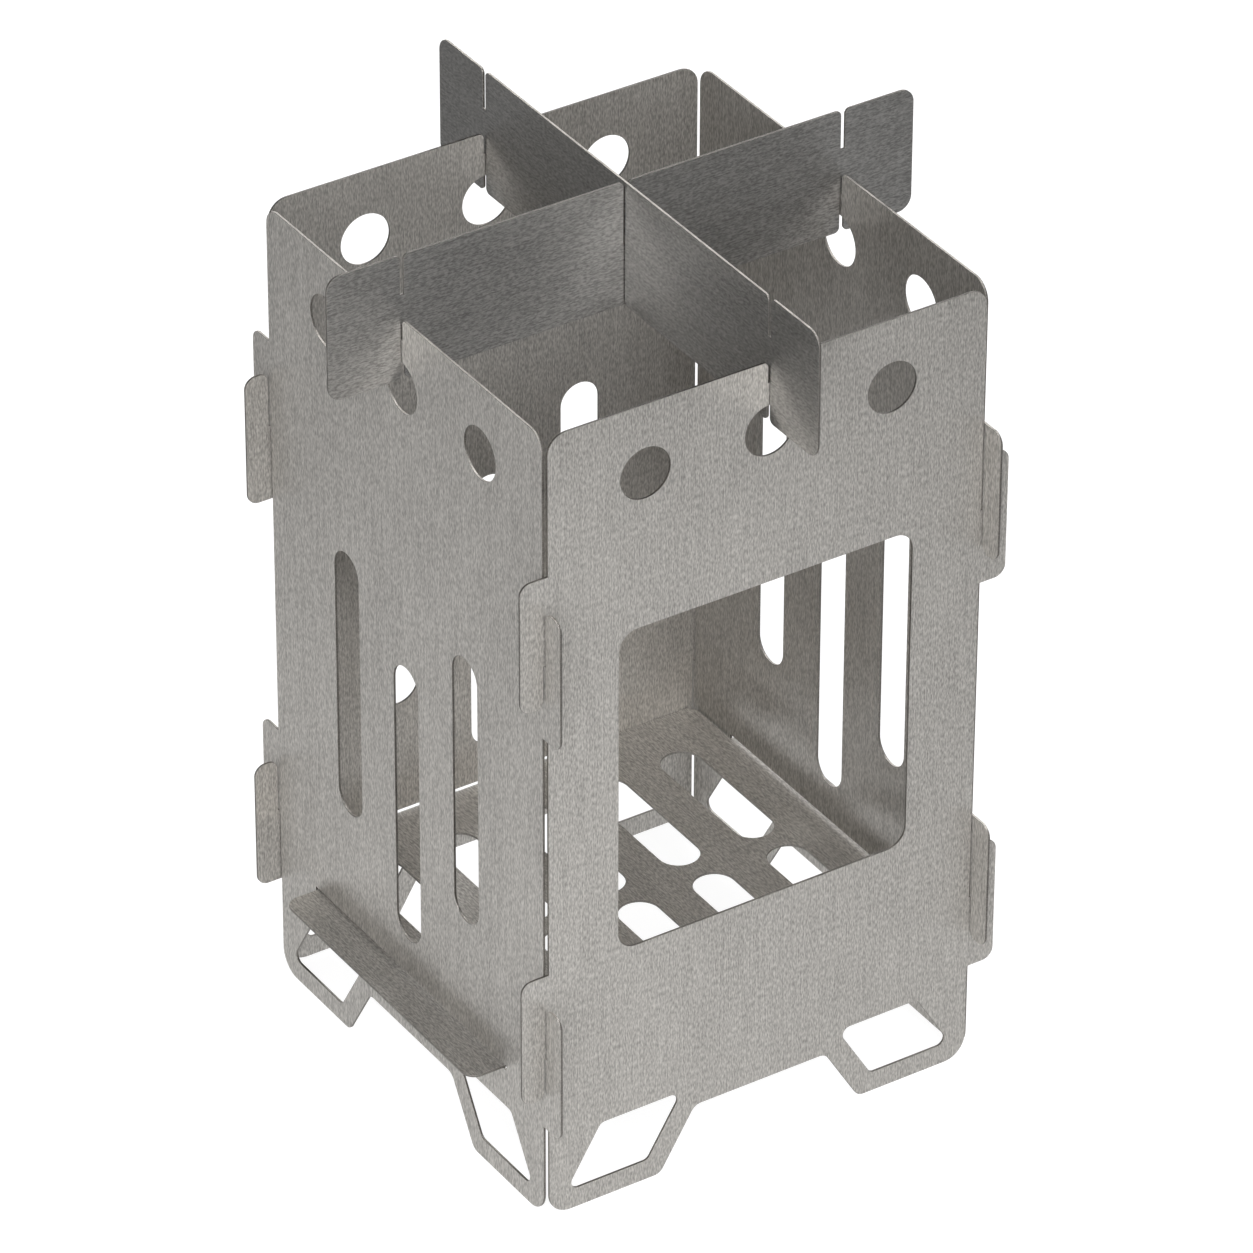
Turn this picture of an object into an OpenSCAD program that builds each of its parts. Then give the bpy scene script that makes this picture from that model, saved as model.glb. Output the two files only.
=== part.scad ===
// Flat-pack hobo stove of laser-cut stainless sheet. Four panels hook into each
// other at the corners, a fire grate passes its ears through two of them, and two
// crossed pot rests sit in slits in the rim. Nothing is bent, bolted or welded.
// Origin: middle of the footprint on the ground, +Z up, feed window towards -Y.

/* [Sheet] */
// Thickness of the sheet that every piece is cut from
sheet = 0.6; // [0.4:0.1:1]
// Play of a sheet in the slit of another one
slit_play = 0.7; // [0.4:0.1:1]
// Play of a sheet in the slits of the pot rests, which are cut closer
rest_slit_play = 0.5; // [0.4:0.1:1]
// Radius at the mouths of the slits in the rim and in the pot rests
slit_mouth_r = 1.4; // [0.4:0.1:2]

/* [Firebox] */
// Distance between the middle planes of facing panels
panel_span = 120; // [112:1:150]
// Height of the panels, from the ground to the rim
panel_h = 217; // [200:1:260]
// Radius of the panels' top corners
rim_corner_r = 5; // [1:0.5:8]
// Diameter of the holes under the rim
rim_hole_d = 13.4; // [6:0.2:16]
// Distance between neighbouring rim holes
rim_hole_pitch = 33.4; // [24:0.2:36]
// Distance of the rim holes' centres below the rim
rim_hole_drop = 18.2; // [16:0.2:24]
// Depth of the slit in the middle of the rim, where a pot rest sits
rim_slit_h = 5.5; // [3:0.1:7]

/* [Corner hooks] */
// Height of a hook
hook_h = 35; // [30:0.5:40]
// Reach of a hook beyond the middle plane of the panel that it holds
hook_reach = 6.8; // [5:0.1:9]
// Depth of the slit in a hook that hangs over its neighbour
hang_slit_h = 11.4; // [8:0.1:16]
// Depth of the slit in a hook that carries its neighbour
carry_slit_h = 14.7; // [8:0.1:18]
// Height above the ground at which the lower hooks cross
low_cross_z = 46.5; // [42:0.5:52]
// Distance below the rim at which the upper hooks cross
high_cross_drop = 60.5; // [50:0.5:66]
// Radius of a hook's outer corners
hook_corner_r = 3; // [1:0.1:4]
// Radius at the mouth of a hook's slit
hook_mouth_r = 2.2; // [0.5:0.1:2.5]

/* [Feet] */
// Width of a foot on the ground
foot_w = 31; // [26:0.5:36]
// Height of the arch between two feet
arch_h = 16.3; // [10:0.1:20]
// Lean of a foot's inner edge and of its hole from the upright, in degrees
foot_lean = 31; // [10:1:38]
// Radius of a foot's outer corner
foot_corner_r = 6; // [1:0.5:10]
// Radius of a foot's inner corner and of the arch's ends
arch_r = 3; // [0.5:0.1:4]
// Height of the hole in a foot
foot_hole_h = 16.3; // [8:0.1:19]
// Height of the web under the hole
foot_rail_h = 5.5; // [4:0.1:8]
// Web between the panel's edge and the hole's lower corner
foot_side_web = 4.6; // [3:0.1:7]
// Level width of the web between the hole and the foot's inner edge
foot_arch_web = 6.8; // [4:0.1:9]
// Corner radius of the hole
foot_hole_r = 2; // [0.5:0.1:4]

/* [Draught slots] */
// Width of the upright slots in the left, right and back panels
vent_w = 10.8; // [6:0.2:14]
// Distance between the centre lines of neighbouring slots
vent_pitch = 26; // [20:0.5:32]
// Height of the outer slots' lower ends above the ground
outer_vent_z = 65; // [50:0.5:80]
// Distance of the outer slots' upper ends below the rim
outer_vent_drop = 77.8; // [50:0.2:90]
// Height of the middle slot's lower end above the ground
middle_vent_z = 43.9; // [42:0.1:60]
// Distance of the middle slot's upper end below the rim
middle_vent_drop = 95.2; // [50:0.2:105]

/* [Feed window] */
// Width of the window in the front panel
window_w = 80.6; // [50:0.2:88]
// Height of the window's sill above the ground
window_z = 69.5; // [50:0.5:90]
// Distance of the window's top below the rim
window_drop = 59.3; // [40:0.1:80]
// Corner radius of the window
window_r = 5; // [1:0.5:12]

/* [Fire grate] */
// Height of the grate's underside above the ground
grate_z = 32.4; // [30:0.1:38]
// Gap between the grate and each panel when the grate lies in the middle
grate_play = 0.4; // [0.3:0.1:1.5]
// Corner radius of the grate
grate_r = 3; // [1:0.5:8]
// Length of an ear, along the panel that it passes through
ear_len = 84.4; // [60:0.2:88]
// Reach of an ear beyond the middle plane of that panel
ear_reach = 9.7; // [6:0.1:14]
// Corner radius of an ear
ear_r = 3.5; // [1:0.1:5]
// Play at the end of an ear when the grate is pushed up to a panel
ear_end_play = 0.5; // [0.2:0.1:2]
// Play above an ear in its slot
ear_top_play = 0.7; // [0.4:0.1:2]
// Length of the open slot in the back panel, level with the grate
back_slot_len = 64; // [40:0.5:84]
// Width of the slots in the grate
grate_slot_w = 10.8; // [6:0.2:12]
// Length of the slots in the grate
grate_slot_len = 42; // [24:0.5:46]
// Distance between the centre lines of neighbouring slots
grate_pitch = 21.6; // [16:0.2:22.6]
// Web between the two rows of slots
grate_web = 5.4; // [4:0.1:10]
// Number of slots in a row
grate_count = 5; // [1:2:5]

/* [Pot rests] */
// Height of a pot rest
rest_h = 32.8; // [28:0.2:40]
// Reach of a pot rest beyond the middle plane of a panel
rest_reach = 19.8; // [12:0.2:30]
// Depth of the slits that straddle the panels, cut from both long edges
rest_slit_h = 10.5; // [6:0.1:12]
// Corner radius of a pot rest
rest_corner_r = 3.8; // [1:0.1:6]
// Gap left between the two pot rests where they cross
lap_play = 0.2; // [0.1:0.1:0.6]

/* [Hidden] */
$fn = 48;
panel_grey = [0.61, 0.60, 0.58];
rest_grey = [0.42, 0.42, 0.41];
// Run of the rounding patches past an outline
overrun = 0.4;
// Width of a slit that takes a sheet
slit_w = sheet + slit_play;
rest_slit_w = sheet + rest_slit_play;
// Middle plane of a panel, from the stove's middle
plane = panel_span / 2;
// Inner face of a panel
inner = plane - sheet / 2;
// Half the width of a panel, ending flush with the slits in its hooks
half_w = plane - slit_w / 2;
// Tip of a hook and outer side of its slit
hook_x = plane + hook_reach;
hook_slit_x = plane + slit_w / 2;
// Sideways run of a leaning edge, for each unit of height
lean = tan(foot_lean);
// Inner end of a foot on the ground, and end of the arch
foot_x = half_w - foot_w;
arch_x = foot_x - lean * arch_h;
// Half the width of the grate, its place against the back panel, its ears
grate_half = inner - grate_play;
grate_y = grate_play;
ear_x = plane + ear_reach;
ear_slot_len = ear_len + 2 * (grate_play + ear_end_play);
ear_slot_h = sheet + ear_top_play;
// Bottom of the slit in the rim, which carries a pot rest, and the rest's edges
seat_z = panel_h - rim_slit_h;
rest_z = seat_z - rest_slit_h;
rest_x = plane + rest_reach;
// Depth of the middle slits of the two pot rests
lap_h = (rest_h + lap_play) / 2;

// Corner i of a closed list of points, counted round the list
function at(list, i) = list[(i + len(list)) % len(list)];

// Unit vector from one point towards another
function towards(a, b) = (b - a) / norm(b - a);

// Half the angle between the two edges that meet in corner i
function half_angle(points, i) =
    acos(towards(points[i], at(points, i - 1)) * towards(points[i], at(points, i + 1))) / 2;

// Radius of corner i, no larger than half of its shorter edge lets it be
function fitted_r(points, i, r) =
    min(r, tan(half_angle(points, i)) / 2
        * min(norm(at(points, i - 1) - points[i]), norm(at(points, i + 1) - points[i])));

// What rounding takes off corner i, which stands out: the tip beyond the arc, run a
// little past both edges
module corner_tip(points, i, r) {
    here = points[i];
    back = towards(here, at(points, i - 1));
    on = towards(here, at(points, i + 1));
    half = half_angle(points, i);
    centre = here + towards([0, 0], back + on) * r / sin(half);
    start = here + back * r / tan(half);
    end = here + on * r / tan(half);
    difference() {
        polygon([centre,
                 start + towards(centre, start) * overrun,
                 here + towards(centre, here) * overrun / sin(half),
                 end + towards(centre, end) * overrun]);
        translate(centre) circle(r);
    }
}

// Outline through anticlockwise points, each corner that stands out rounded to its
// own radius; corners that go in have the radius 0
module rounded_outline(points, radii) {
    difference() {
        polygon(points);
        for (i = [0 : len(points) - 1])
            if (radii[i] > 0) corner_tip(points, i, fitted_r(points, i, radii[i]));
    }
}

// Points of a slit cut into an edge that runs along x: depth is above 0 for a slit
// from a top edge and below 0 for one from a bottom edge
function slit_points(x, edge, depth, width) =
    let (side = depth > 0 ? width / 2 : -width / 2)
    [[x + side, edge], [x + side, edge - depth], [x - side, edge - depth], [x - side, edge]];
slit_radii = [slit_mouth_r, 0, 0, slit_mouth_r];

// Right edge, upwards: a hook with its slit open at the top carries the neighbour
function carry_hook(cross_z) =
    let (foot = cross_z + carry_slit_h - hook_h, top = cross_z + carry_slit_h)
    [[half_w, foot], [hook_x, foot], [hook_x, top],
     [hook_slit_x, top], [hook_slit_x, cross_z], [half_w, cross_z]];

// Left edge, downwards: a hook with its slit open at the bottom hangs over it
function hang_hook(cross_z) =
    let (top = cross_z - hang_slit_h + hook_h, foot = cross_z - hang_slit_h)
    [[-half_w, top], [-hook_x, top], [-hook_x, foot],
     [-hook_slit_x, foot], [-hook_slit_x, cross_z], [-half_w, cross_z]];
hook_radii = [0, hook_corner_r, hook_corner_r, hook_mouth_r, 0, 0];

// Outline of every panel, seen from outside the stove
module panel_outline() {
    high_cross_z = panel_h - high_cross_drop;
    rounded_outline(
        concat([[-half_w, 0], [half_w, 0]],
               carry_hook(low_cross_z), carry_hook(high_cross_z), [[half_w, panel_h]],
               slit_points(0, panel_h, rim_slit_h, slit_w), [[-half_w, panel_h]],
               hang_hook(high_cross_z), hang_hook(low_cross_z)),
        concat([foot_corner_r, foot_corner_r],
               hook_radii, hook_radii, [rim_corner_r],
               slit_radii, [rim_corner_r],
               hook_radii, hook_radii));
}

// Arch that parts the two feet, with the tips that it takes off their inner corners
module arch() {
    spread = lean * overrun;
    rounded_outline([[-foot_x - spread, -overrun], [foot_x + spread, -overrun],
                     [arch_x, arch_h], [-arch_x, arch_h]],
                    [0, 0, arch_r, arch_r]);
    for (side = [-1, 1])
        corner_tip([[side * half_w, 0], [side * foot_x, 0], [side * arch_x, arch_h]], 1, arch_r);
}

// Leaning hole in the right foot
module foot_hole() {
    outer_x = half_w - foot_side_web;
    inner_x = foot_x - lean * foot_rail_h + foot_arch_web;
    top = foot_rail_h + foot_hole_h;
    shift = lean * foot_hole_h;
    rounded_outline([[inner_x, foot_rail_h], [outer_x, foot_rail_h],
                     [outer_x - shift, top], [inner_x - shift, top]],
                    [foot_hole_r, foot_hole_r, foot_hole_r, foot_hole_r]);
}

// Slot with round ends, its middle line running up from the origin
module round_slot(width, length) {
    translate([0, width / 2]) circle(d = width);
    translate([0, length - width / 2]) circle(d = width);
    translate([-width / 2, width / 2]) square([width, length - width]);
}

// Three upright draught slots, the middle one lower than the others
module vents() {
    for (side = [-1, 1])
        translate([side * vent_pitch, outer_vent_z])
            round_slot(vent_w, panel_h - outer_vent_drop - outer_vent_z);
    translate([0, middle_vent_z])
        round_slot(vent_w, panel_h - middle_vent_drop - middle_vent_z);
}

// Level slot at the height of the grate
module level_slot(length) {
    translate([-length / 2, grate_z]) square([length, ear_slot_h]);
}

// Window through which the fire is fed
module feed_window() {
    top = panel_h - window_drop;
    rounded_outline([[-window_w / 2, window_z], [window_w / 2, window_z],
                     [window_w / 2, top], [-window_w / 2, top]],
                    [window_r, window_r, window_r, window_r]);
}

// A sheet cut to its flat shape, stood upright with its middle in the plane y = 0
module upright_sheet() {
    rotate([90, 0, 0]) translate([0, 0, -sheet / 2]) linear_extrude(sheet) children();
}

// One side of the firebox in its place, turned by the angle from the front; the
// children are cut out of it besides what all the panels share
module panel(angle) {
    color(panel_grey) rotate([0, 0, angle]) translate([0, -plane, 0]) upright_sheet()
        difference() {
            panel_outline();
            arch();
            for (i = [-1 : 1])
                translate([i * rim_hole_pitch, panel_h - rim_hole_drop]) circle(d = rim_hole_d);
            foot_hole();
            mirror([1, 0]) foot_hole();
            children();
        }
}

// One pot rest, with its middle slit open at the top or at the bottom
module pot_rest(open_top) {
    top = rest_z + rest_h;
    low_middle = open_top ? [] : slit_points(0, rest_z, -lap_h, rest_slit_w);
    high_middle = open_top ? slit_points(0, top, lap_h, rest_slit_w) : [];
    color(rest_grey) upright_sheet()
        rounded_outline(
            concat([[-rest_x, rest_z]],
                   slit_points(-plane, rest_z, -rest_slit_h, rest_slit_w),
                   low_middle,
                   slit_points(plane, rest_z, -rest_slit_h, rest_slit_w),
                   [[rest_x, rest_z], [rest_x, top]],
                   slit_points(plane, top, rest_slit_h, rest_slit_w),
                   high_middle,
                   slit_points(-plane, top, rest_slit_h, rest_slit_w),
                   [[-rest_x, top]]),
            concat([rest_corner_r], slit_radii,
                   open_top ? [] : slit_radii, slit_radii,
                   [rest_corner_r, rest_corner_r], slit_radii,
                   open_top ? slit_radii : [], slit_radii, [rest_corner_r]));
}

module front_panel() {
    panel(0) feed_window();
}

module left_panel() {
    panel(-90) {
        vents();
        level_slot(ear_slot_len);
    }
}

module right_panel() {
    panel(90) {
        vents();
        level_slot(ear_slot_len);
    }
}

module back_panel() {
    panel(180) {
        vents();
        level_slot(back_slot_len);
    }
}

// Grate that the fire burns on. It lies on the lower edges of the slots in the
// left and right panels, pushed up to the back panel.
module fire_grate() {
    ear_y = ear_len / 2;
    color(panel_grey) translate([0, grate_y, grate_z]) linear_extrude(sheet) difference() {
        rounded_outline([[-grate_half, -grate_half], [grate_half, -grate_half],
                         [grate_half, -ear_y], [ear_x, -ear_y], [ear_x, ear_y],
                         [grate_half, ear_y], [grate_half, grate_half],
                         [-grate_half, grate_half], [-grate_half, ear_y],
                         [-ear_x, ear_y], [-ear_x, -ear_y], [-grate_half, -ear_y]],
                        [grate_r, grate_r, 0, ear_r, ear_r, 0,
                         grate_r, grate_r, 0, ear_r, ear_r, 0]);
        for (i = [0 : grate_count - 1]) translate([(i - (grate_count - 1) / 2) * grate_pitch, 0]) {
            translate([0, grate_web / 2]) round_slot(grate_slot_w, grate_slot_len);
            mirror([0, 1]) translate([0, grate_web / 2]) round_slot(grate_slot_w, grate_slot_len);
        }
    }
}

// Lower pot rest, from the left panel to the right one
module lower_pot_rest() {
    pot_rest(true);
}

// Upper pot rest, from the front panel to the back one, over the lower one
module upper_pot_rest() {
    rotate([0, 0, 90]) pot_rest(false);
}

front_panel();
left_panel();
right_panel();
back_panel();
fire_grate();
lower_pot_rest();
upper_pot_rest();
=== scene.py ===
import math

import bpy
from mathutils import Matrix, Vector


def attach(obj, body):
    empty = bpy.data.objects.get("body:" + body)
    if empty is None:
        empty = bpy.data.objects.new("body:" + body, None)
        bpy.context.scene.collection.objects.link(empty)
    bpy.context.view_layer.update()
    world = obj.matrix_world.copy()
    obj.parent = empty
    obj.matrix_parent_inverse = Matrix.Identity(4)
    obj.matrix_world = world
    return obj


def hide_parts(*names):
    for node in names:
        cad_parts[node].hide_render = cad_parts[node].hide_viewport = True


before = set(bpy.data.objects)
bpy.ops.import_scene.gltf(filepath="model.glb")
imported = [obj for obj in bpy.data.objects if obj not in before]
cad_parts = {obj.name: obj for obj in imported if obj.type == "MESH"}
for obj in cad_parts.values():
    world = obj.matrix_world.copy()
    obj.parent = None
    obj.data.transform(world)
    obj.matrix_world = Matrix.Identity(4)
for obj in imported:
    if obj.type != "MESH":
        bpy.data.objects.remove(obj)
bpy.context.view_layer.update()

# A hobo stove: seven flat sheets of laser-cut stainless steel that hook into each other.
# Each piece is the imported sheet's own shape with its edges broken, brushed faces, and cut
# edges with a finish of their own. Sizes are in metres.

X = 0
Y = 1
Z = 2

# how far the sharp edges are taken off, which corners count as sharp, and up to which
# angle the surface is shaded smooth
EDGE_BREAK = 0.00007
SHARP_CORNER = math.radians(40)
SMOOTH_UP_TO = math.radians(52)

# a face that points this much along the axis through the sheet is one of its two flats
FLAT_FACE = 0.95

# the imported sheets' loose triangles are joined where they meet and lie flat
WELD_DISTANCE = 0.000002
FLAT_UP_TO = math.radians(0.3)

# brushing marks: their sizes, what each adds to the tone, and what it does to the gloss
STREAK_WIDTH = 0.00034
HAIRLINE_LENGTH = 0.020
HAIRLINE_WIDTH = 0.00030
SMEAR_LENGTH = 0.060
SMEAR_WIDTH = 0.024
STREAK_TONE = 0.66
HAIRLINE_TONE = 0.20
SMEAR_TONE = 0.14
STREAK_WEAR = 0.03
SMEAR_WEAR = 0.035
BRUSH_DEPTH = 0.000006
BRUSH_STRENGTH = 0.25

# marks that the laser leaves on a cut edge
RIB_LENGTH = 0.0012
RIB_WIDTH = 0.00012
EDGE_PATCH = 0.006
RIB_TONE = 0.6
PATCH_TONE = 0.4
EDGE_ROUGHNESS = (0.36, 0.46)
EDGE_DRAWN = 0.95
RIB_DEPTH = 0.00001
RIB_STRENGTH = 0.4

# the part of a noise's values, from 0 to 1, that a pattern is drawn from
CRISP = (0.34, 0.66)
PLAIN = (0.3, 0.7)
SOFT = (0.25, 0.75)

# darkest and lightest steel in each pattern
PANEL_DARK = (0.305, 0.293, 0.276)
PANEL_LIGHT = (0.725, 0.700, 0.663)
REST_DARK = (0.285, 0.279, 0.270)
REST_LIGHT = (0.630, 0.620, 0.604)
EDGE_DARK = (0.18, 0.17, 0.16)
EDGE_LIGHT = (0.42, 0.40, 0.37)

# the floor, as the camera, the paper's own shading and the steel's reflections have it; for
# the reflections the floor glows with painted light, brightest near the stove and in a painted
# pool at its front left
FLOOR_SIZE = 12.0
FLOOR_WHITE = 0.90
FLOOR_SHADOW_PART = (0.20, 0.20, 0.20, 1)
FLOOR_PAPER = (0.8, 0.8, 0.8, 1)
STOVE_FOOT = (0, 0, 0)
# painted light on the floor for the steel's reflections: its reach and strength near and far
# from the stove, then a painted pool of light at the front left
PAINTED_FLOOR_REACH = (0.05, 0.45)
PAINTED_FLOOR_LIGHT = (0.72, 0.34)
PAINTED_POOL_SPOT = (-0.22, -0.32, 0)
PAINTED_POOL_REACH = (0.05, 0.34)
PAINTED_POOL_LIGHT = (0.50, 0.0)

# the air around, as the camera, dull surfaces and the steel's reflections have it
WHITE = (1, 1, 1, 1)
DULL_AIR = 0.40
SWEEP_RISE = (0.0, 0.5)
SWEEP_TO_CEILING = (0.52, 0.08)

# name, place, width and power of each soft lamp
LAMP_AIM = (0, 0, 0.1)
LAMPS = [
    ("soft_key", (-0.74, -1.79, 1.84), 2.6, 94.0),
    ("soft_left", (-2.01, -0.89, 0.22), 1.6, 50.0),
    ("soft_top", (1.08, 0.13, 2.24), 0.8, 24.0),
    ("soft_rear", (1.23, 1.97, 0.68), 1.4, 18.0),
]

# the camera that was solved from the photograph, in degrees, metres and pixels
CAMERA_AZIMUTH = -33.028
CAMERA_ELEVATION = 33.738
CAMERA_ROLL = 0.202
CAMERA_TARGET = (0.00086, 0, 0.111329)
CAMERA_DISTANCE = 1.992852
FOCAL_PIXELS = 8441.941
PHOTO_WIDTH = 1253
SENSOR_WIDTH = 36.0
CLIP_START = 0.05
CLIP_END = 50.0


def pick_only(piece):
    """Deselects everything and makes one piece the only one that an operator acts on."""
    bpy.ops.object.select_all(action="DESELECT")
    piece.select_set(True)
    bpy.context.view_layer.objects.active = piece


def add_and_apply(piece, kind, **settings):
    """Adds a modifier with these settings and applies it at once."""
    pick_only(piece)
    modifier = piece.modifiers.new(kind.lower(), kind)
    for setting, value in settings.items():
        setattr(modifier, setting, value)
    bpy.ops.object.modifier_apply(modifier=modifier.name)


def welded_copy(node, name):
    """Copies a packed sheet, welds its loose triangles and joins the flat ones."""
    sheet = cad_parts[node]
    piece = bpy.data.objects.new(name, sheet.data.copy())
    bpy.context.scene.collection.objects.link(piece)
    piece.data.materials.clear()
    pick_only(piece)
    bpy.ops.object.mode_set(mode="EDIT")
    bpy.ops.mesh.select_all(action="SELECT")
    bpy.ops.mesh.remove_doubles(threshold=WELD_DISTANCE)
    bpy.ops.mesh.dissolve_limited(angle_limit=FLAT_UP_TO)
    bpy.ops.object.mode_set(mode="OBJECT")
    return piece


def break_edges(piece):
    """Rounds every sharp edge a little, as tumbling does, and shades the flats flat."""
    add_and_apply(
        piece,
        "BEVEL",
        width=EDGE_BREAK,
        segments=2,
        limit_method="ANGLE",
        angle_limit=SHARP_CORNER,
    )
    pick_only(piece)
    bpy.ops.object.shade_smooth_by_angle(angle=SMOOTH_UP_TO)
    add_and_apply(piece, "WEIGHTED_NORMAL", keep_sharp=True, weight=100)


def finish_faces(piece, through, face_finish, edge_finish):
    """Gives one finish to the sheet's two faces and the other one to its cut edges."""
    piece.data.materials.append(face_finish)
    piece.data.materials.append(edge_finish)
    for face in piece.data.polygons:
        if abs(face.normal[through]) > FLAT_FACE:
            face.material_index = 0
        else:
            face.material_index = 1


def add_node(tree, kind, **settings):
    """Adds a node and sets its properties."""
    node = tree.nodes.new(kind)
    for setting, value in settings.items():
        setattr(node, setting, value)
    return node


def streaks(tree, place, size, detail, seed):
    """A noise stretched to marks of these sizes, in metres along x, y and z."""
    mapping = add_node(tree, "ShaderNodeMapping")
    mapping.inputs["Scale"].default_value = [1 / s for s in size]
    mapping.inputs["Location"].default_value = (seed, seed * 1.7, seed * 2.3)
    noise = add_node(tree, "ShaderNodeTexNoise")
    noise.inputs["Scale"].default_value = 1.0
    noise.inputs["Detail"].default_value = detail
    noise.inputs["Roughness"].default_value = 0.55
    tree.links.new(place, mapping.inputs["Vector"])
    tree.links.new(mapping.outputs["Vector"], noise.inputs["Vector"])
    return noise.outputs["Fac"]


def spread(tree, source, reach, onto):
    """Maps one range of a pattern onto another range and keeps it in there."""
    node = add_node(tree, "ShaderNodeMapRange", clamp=True)
    node.inputs["From Min"].default_value = reach[0]
    node.inputs["From Max"].default_value = reach[1]
    node.inputs["To Min"].default_value = onto[0]
    node.inputs["To Max"].default_value = onto[1]
    tree.links.new(source, node.inputs["Value"])
    return node.outputs["Result"]


def add_up(tree, first, second):
    """Adds two patterns."""
    node = add_node(tree, "ShaderNodeMath", operation="ADD")
    tree.links.new(first, node.inputs[0])
    tree.links.new(second, node.inputs[1])
    return node.outputs["Value"]


def away_from(tree, place, spot):
    """Distance from a spot."""
    node = add_node(tree, "ShaderNodeVectorMath", operation="DISTANCE")
    node.inputs[1].default_value = spot
    tree.links.new(place, node.inputs[0])
    return node.outputs["Value"]


def either(tree, question, if_not, if_so):
    """One shader or the other, by what the light path says."""
    node = add_node(tree, "ShaderNodeMixShader")
    tree.links.new(question, node.inputs["Fac"])
    tree.links.new(if_not, node.inputs[1])
    tree.links.new(if_so, node.inputs[2])
    return node.outputs["Shader"]


def tinted(tree, amount, dark, light):
    """A colour between two steel tones."""
    node = add_node(tree, "ShaderNodeMix", data_type="RGBA")
    colours = [s for s in node.inputs if s.type == "RGBA"]
    colours[0].default_value = (*dark, 1)
    colours[1].default_value = (*light, 1)
    tree.links.new(amount, node.inputs["Factor"])
    return [s for s in node.outputs if s.type == "RGBA"][0]


def new_steel(name):
    """A new material with its shader, and the object's own coordinates."""
    material = bpy.data.materials.new(name)
    material.use_nodes = True
    tree = material.node_tree
    shader = tree.nodes["Principled BSDF"]
    place = add_node(tree, "ShaderNodeTexCoord").outputs["Object"]
    return material, tree, shader, place


def sizes_along(axis, along, across):
    """Streak sizes along x, y and z, long on one axis and thin on the others."""
    size = [across, across, across]
    size[axis] = along
    return size


def marked(tree, shader, height, strength, depth):
    """Lets a pattern stand out from the surface by up to this depth."""
    bump = add_node(tree, "ShaderNodeBump")
    bump.inputs["Strength"].default_value = strength
    bump.inputs["Distance"].default_value = depth
    tree.links.new(height, bump.inputs["Height"])
    tree.links.new(bump.outputs["Normal"], shader.inputs["Normal"])


def drawn_out(tree, shader, axis, amount):
    """Draws reflections out across marks that run along this axis."""
    tangent = add_node(tree, "ShaderNodeTangent", direction_type="RADIAL", axis="XYZ"[axis])
    tree.links.new(tangent.outputs["Tangent"], shader.inputs["Tangent"])
    shader.inputs["Anisotropic"].default_value = amount


def brushed_sheet(name, grain, length, dark, light, rough, drawn, metal):
    """Brushed stainless sheet: short bright and dark streaks, long hairlines, faint smears."""
    material, tree, shader, place = new_steel(name)
    shader.inputs["Metallic"].default_value = metal
    short_size = sizes_along(grain, length, STREAK_WIDTH)
    hairline_size = sizes_along(grain, HAIRLINE_LENGTH, HAIRLINE_WIDTH)
    smear_size = sizes_along(grain, SMEAR_LENGTH, SMEAR_WIDTH)
    short = streaks(tree, place, short_size, detail=1.0, seed=3.1)
    hairline = streaks(tree, place, hairline_size, detail=0.0, seed=7.7)
    smear = streaks(tree, place, smear_size, detail=2.0, seed=1.3)
    fine = add_up(
        tree,
        spread(tree, short, CRISP, (0.0, STREAK_TONE)),
        spread(tree, hairline, CRISP, (0.0, HAIRLINE_TONE)),
    )
    pattern = add_up(tree, fine, spread(tree, smear, PLAIN, (0.0, SMEAR_TONE)))
    tree.links.new(tinted(tree, pattern, dark, light), shader.inputs["Base Color"])
    wear = add_up(
        tree,
        spread(tree, smear, PLAIN, (rough - SMEAR_WEAR, rough + SMEAR_WEAR)),
        spread(tree, short, SOFT, (-STREAK_WEAR, STREAK_WEAR)),
    )
    tree.links.new(wear, shader.inputs["Roughness"])
    marked(tree, shader, fine, BRUSH_STRENGTH, BRUSH_DEPTH)
    drawn_out(tree, shader, grain, drawn)
    return material


def laser_cut(name, through):
    """A laser-cut edge: darker than the faces, with fine ribs across the sheet's thickness."""
    material, tree, shader, place = new_steel(name)
    shader.inputs["Metallic"].default_value = 1.0
    rib_size = sizes_along(through, RIB_LENGTH, RIB_WIDTH)
    patch_size = sizes_along(through, EDGE_PATCH, EDGE_PATCH)
    ribs = streaks(tree, place, rib_size, detail=1.0, seed=5.3)
    patches = streaks(tree, place, patch_size, detail=1.0, seed=2.1)
    pattern = add_up(
        tree,
        spread(tree, ribs, PLAIN, (0.0, RIB_TONE)),
        spread(tree, patches, PLAIN, (0.0, PATCH_TONE)),
    )
    tree.links.new(tinted(tree, pattern, EDGE_DARK, EDGE_LIGHT), shader.inputs["Base Color"])
    tree.links.new(spread(tree, patches, PLAIN, EDGE_ROUGHNESS), shader.inputs["Roughness"])
    marked(tree, shader, ribs, RIB_STRENGTH, RIB_DEPTH)
    drawn_out(tree, shader, through, EDGE_DRAWN)
    return material


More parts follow.
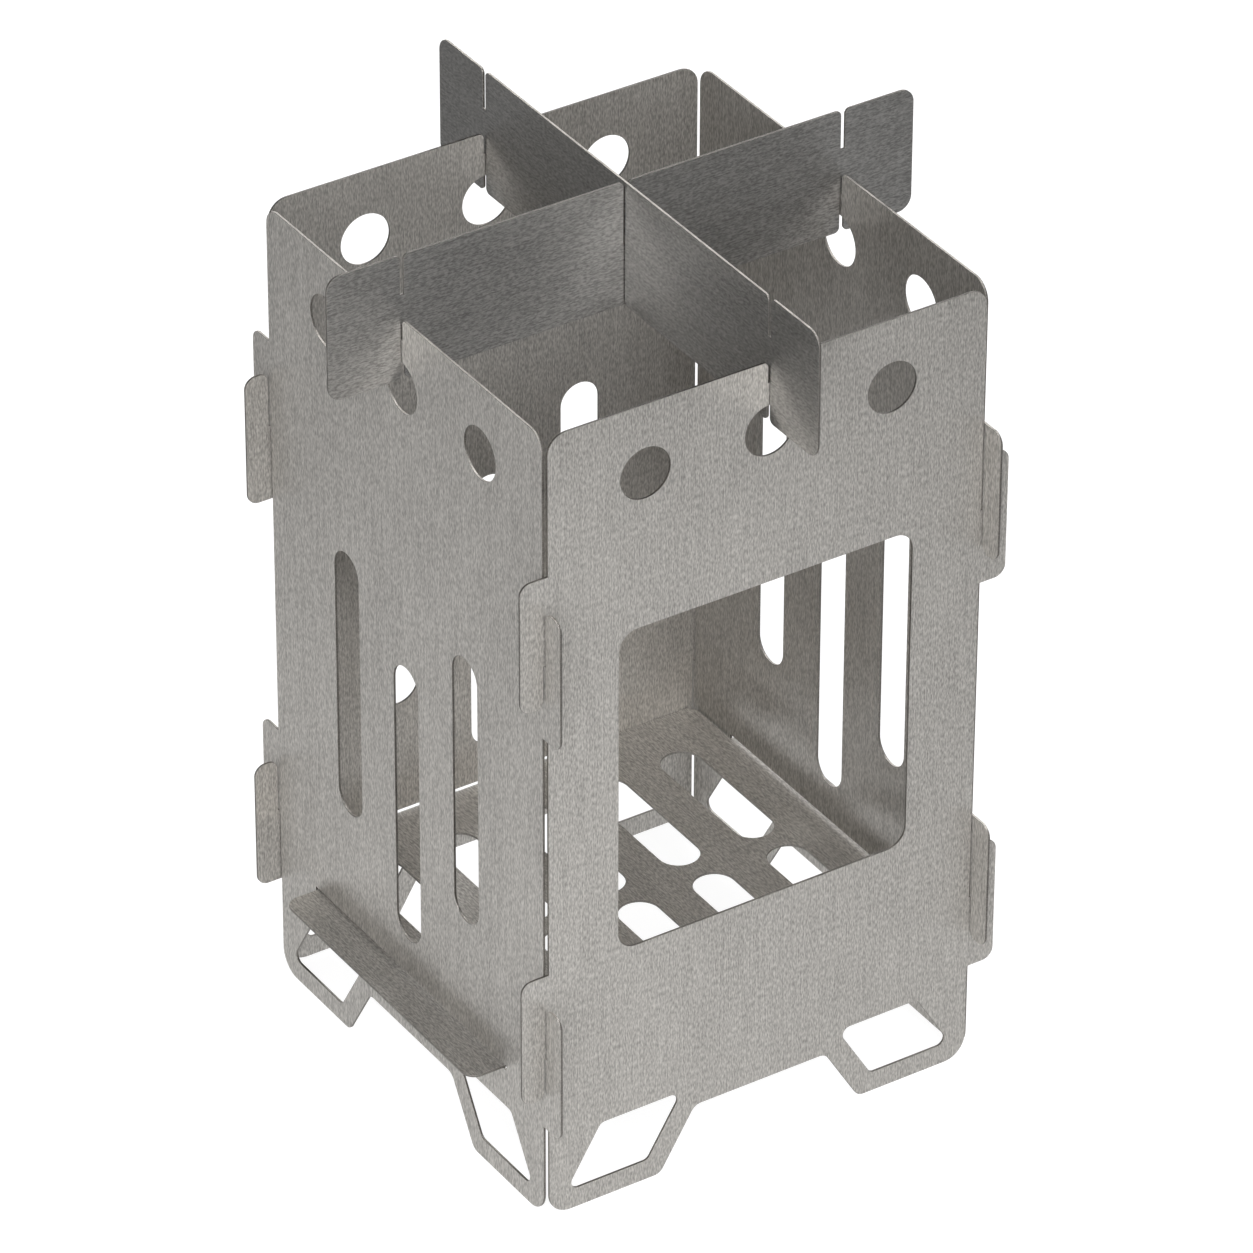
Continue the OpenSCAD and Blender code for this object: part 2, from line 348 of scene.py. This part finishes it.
def studio_floor():
    """A wide floor, white for the camera but for the stove's faint shadow."""
    bpy.ops.object.select_all(action="DESELECT")
    bpy.ops.mesh.primitive_plane_add(size=FLOOR_SIZE, location=STOVE_FOOT)
    floor = bpy.context.object
    floor.name = "studio_floor"
    material = bpy.data.materials.new("floor_white")
    material.use_nodes = True
    tree = material.node_tree
    tree.nodes.clear()
    path = add_node(tree, "ShaderNodeLightPath")
    paper = add_node(tree, "ShaderNodeBsdfDiffuse")
    paper.inputs["Color"].default_value = FLOOR_PAPER
    # for the camera: nearly all white of its own, and a little that takes the shadow
    white = add_node(tree, "ShaderNodeEmission")
    white.inputs["Strength"].default_value = FLOOR_WHITE
    faint = add_node(tree, "ShaderNodeBsdfDiffuse")
    faint.inputs["Color"].default_value = FLOOR_SHADOW_PART
    seen = add_node(tree, "ShaderNodeAddShader")
    tree.links.new(white.outputs[0], seen.inputs[0])
    tree.links.new(faint.outputs[0], seen.inputs[1])
    # for the steel: a glow of painted light in place of lit paper, brightest close to the
    # stove and in a painted pool at its front left
    place = add_node(tree, "ShaderNodeTexCoord").outputs["Object"]
    from_stove = away_from(tree, place, STOVE_FOOT)
    from_painted_pool = away_from(tree, place, PAINTED_POOL_SPOT)
    painted_near_light = spread(tree, from_stove, PAINTED_FLOOR_REACH, PAINTED_FLOOR_LIGHT)
    painted_pool = spread(tree, from_painted_pool, PAINTED_POOL_REACH, PAINTED_POOL_LIGHT)
    mirrored = add_node(tree, "ShaderNodeEmission")
    tree.links.new(add_up(tree, painted_near_light, painted_pool), mirrored.inputs["Strength"])
    unseen = either(tree, path.outputs["Is Glossy Ray"], paper.outputs[0], mirrored.outputs[0])
    surface = either(tree, path.outputs["Is Camera Ray"], unseen, seen.outputs[0])
    out = add_node(tree, "ShaderNodeOutputMaterial")
    tree.links.new(surface, out.inputs["Surface"])
    floor.data.materials.append(material)


def white_air(tree):
    """Light from all round, white at its default strength of 1."""
    air = add_node(tree, "ShaderNodeBackground")
    air.inputs["Color"].default_value = WHITE
    return air


def studio_air():
    """Plain white for the camera. The steel sees a white sweep under a dim ceiling."""
    world = bpy.data.worlds.new("studio_air")
    bpy.context.scene.world = world
    world.use_nodes = True
    tree = world.node_tree
    tree.nodes.clear()
    path = add_node(tree, "ShaderNodeLightPath")
    seen = white_air(tree)
    light = white_air(tree)
    light.inputs["Strength"].default_value = DULL_AIR
    mirrored = white_air(tree)
    way = add_node(tree, "ShaderNodeTexCoord").outputs["Generated"]
    parts = add_node(tree, "ShaderNodeSeparateXYZ")
    tree.links.new(way, parts.inputs["Vector"])
    ceiling = spread(tree, parts.outputs["Z"], SWEEP_RISE, SWEEP_TO_CEILING)
    tree.links.new(ceiling, mirrored.inputs["Strength"])
    unseen = either(tree, path.outputs["Is Glossy Ray"], light.outputs[0], mirrored.outputs[0])
    surface = either(tree, path.outputs["Is Camera Ray"], unseen, seen.outputs[0])
    out = add_node(tree, "ShaderNodeOutputWorld")
    tree.links.new(surface, out.inputs["Surface"])


def soft_lamp(name, place, size, power):
    """A square soft lamp that looks at the stove."""
    lamp = bpy.data.lights.new(name, "AREA")
    lamp.shape = "SQUARE"
    lamp.size = size
    lamp.energy = power
    holder = bpy.data.objects.new(name, lamp)
    holder.location = place
    way = Vector(LAMP_AIM) - Vector(place)
    holder.rotation_euler = way.to_track_quat("-Z", "Y").to_euler()
    bpy.context.scene.collection.objects.link(holder)


def photo_camera():
    """Sets up the camera that was solved from the photograph."""
    azimuth = math.radians(CAMERA_AZIMUTH)
    elevation = math.radians(CAMERA_ELEVATION)
    roll = math.radians(CAMERA_ROLL)
    flat = math.cos(elevation)
    back = Vector((math.sin(azimuth) * flat, -math.cos(azimuth) * flat, math.sin(elevation)))
    right = Vector((math.cos(azimuth), math.sin(azimuth), 0))
    up = back.cross(right)
    right_rolled = right * math.cos(roll) + up * math.sin(roll)
    up_rolled = up * math.cos(roll) - right * math.sin(roll)
    camera = bpy.data.cameras.new("photo_camera")
    camera.sensor_width = SENSOR_WIDTH
    camera.lens = SENSOR_WIDTH * FOCAL_PIXELS / PHOTO_WIDTH
    camera.clip_start = CLIP_START
    camera.clip_end = CLIP_END
    holder = bpy.data.objects.new("photo_camera", camera)
    bpy.context.scene.collection.objects.link(holder)
    place = Vector(CAMERA_TARGET) + back * CAMERA_DISTANCE
    turn = [right_rolled, up_rolled, back]
    for row in range(3):
        for column in range(3):
            holder.matrix_world[row][column] = turn[column][row]
        holder.matrix_world[row][3] = place[row]
    bpy.context.scene.camera = holder


# panels are brushed upright, the grate from front to back, each pot rest along its length
upright_grain = brushed_sheet(
    "panel_brushed",
    grain=Z,
    length=0.0013,
    dark=PANEL_DARK,
    light=PANEL_LIGHT,
    rough=0.36,
    drawn=0.97,
    metal=0.86,
)
grate_grain = brushed_sheet(
    "grate_brushed",
    grain=Y,
    length=0.0013,
    dark=PANEL_DARK,
    light=PANEL_LIGHT,
    rough=0.44,
    drawn=0.93,
    metal=0.85,
)
lower_rest_grain = brushed_sheet(
    "lower_rest_brushed",
    grain=X,
    length=0.0010,
    dark=REST_DARK,
    light=REST_LIGHT,
    rough=0.54,
    drawn=0.92,
    metal=1.0,
)
upper_rest_grain = brushed_sheet(
    "upper_rest_brushed",
    grain=Y,
    length=0.0010,
    dark=REST_DARK,
    light=REST_LIGHT,
    rough=0.54,
    drawn=0.92,
    metal=1.0,
)
cut_through_y = laser_cut("edge_cut_front_to_back", Y)
cut_through_x = laser_cut("edge_cut_side_to_side", X)
cut_through_z = laser_cut("edge_cut_top_to_bottom", Z)

# node, body, material slot, axis through the sheet, finish of its faces and of its cut edges
SHEETS = [
    ("front_panel", "firebox", "panel_steel", Y, upright_grain, cut_through_y),
    ("back_panel", "firebox", "panel_steel", Y, upright_grain, cut_through_y),
    ("left_panel", "firebox", "panel_steel", X, upright_grain, cut_through_x),
    ("right_panel", "firebox", "panel_steel", X, upright_grain, cut_through_x),
    ("fire_grate", "firebox", "grate_steel", Z, grate_grain, cut_through_z),
    ("lower_pot_rest", "lower_rest", "rest_steel", Y, lower_rest_grain, cut_through_y),
    ("upper_pot_rest", "upper_rest", "rest_steel", X, upper_rest_grain, cut_through_x),
]

for node, body, slot_name, through, face_finish, edge_finish in SHEETS:
    piece = welded_copy(node, node + "_sheet")
    break_edges(piece)
    finish_faces(piece, through, face_finish, edge_finish)
    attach(piece, body)
    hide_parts(node)

studio_floor()
studio_air()
for name, place, size, power in LAMPS:
    soft_lamp(name, place, size, power)
photo_camera()

bpy.context.scene.view_settings.view_transform = "Standard"
